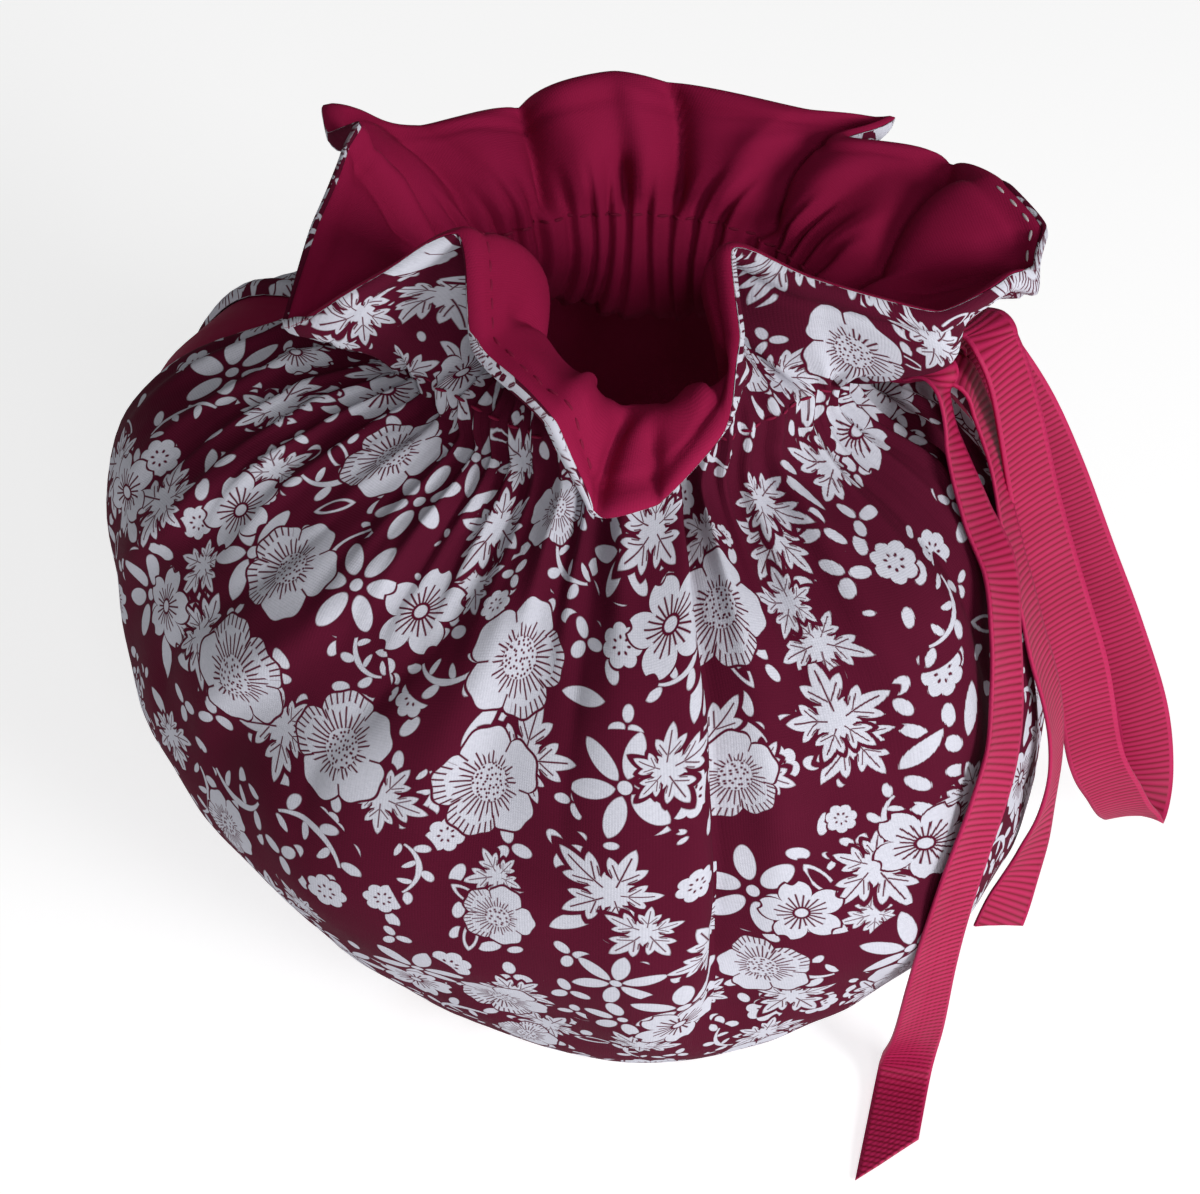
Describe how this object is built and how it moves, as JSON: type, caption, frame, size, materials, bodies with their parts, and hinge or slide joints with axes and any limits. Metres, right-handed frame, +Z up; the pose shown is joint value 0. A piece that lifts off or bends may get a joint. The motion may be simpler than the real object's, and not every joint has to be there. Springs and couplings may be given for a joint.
{
  "type": "tea cosy",
  "caption": "Padded cloth tea cosy with a gathered neck, a frill, a plain lining, side openings for spout and handle, and a ribbon tie.",
  "frame": {"origin": "centre of the part's box, on the plane that the hem rests on", "axes": "+Z up, -Y to the front of the cosy, +X toward the handle opening and the ribbon tie, -X toward the spout opening"},
  "size_m": [0.1914, 0.1503, 0.1548],
  "materials": {
    "printed_cotton": "matt woven cotton printed with pale flowers on dark red",
    "plain_lining": "plain dark red cotton with a faint sheen",
    "ribbon": "cross-ribbed ribbon with a soft sheen"
  },
  "bodies": {
    "root": {"cosy_outer": "printed_cotton", "cosy_lining": "plain_lining", "ribbon_front_tail": "ribbon", "ribbon_back_tail": "ribbon", "ribbon_loop": "ribbon", "ribbon_knot": "ribbon"}
  },
  "joints": []
}
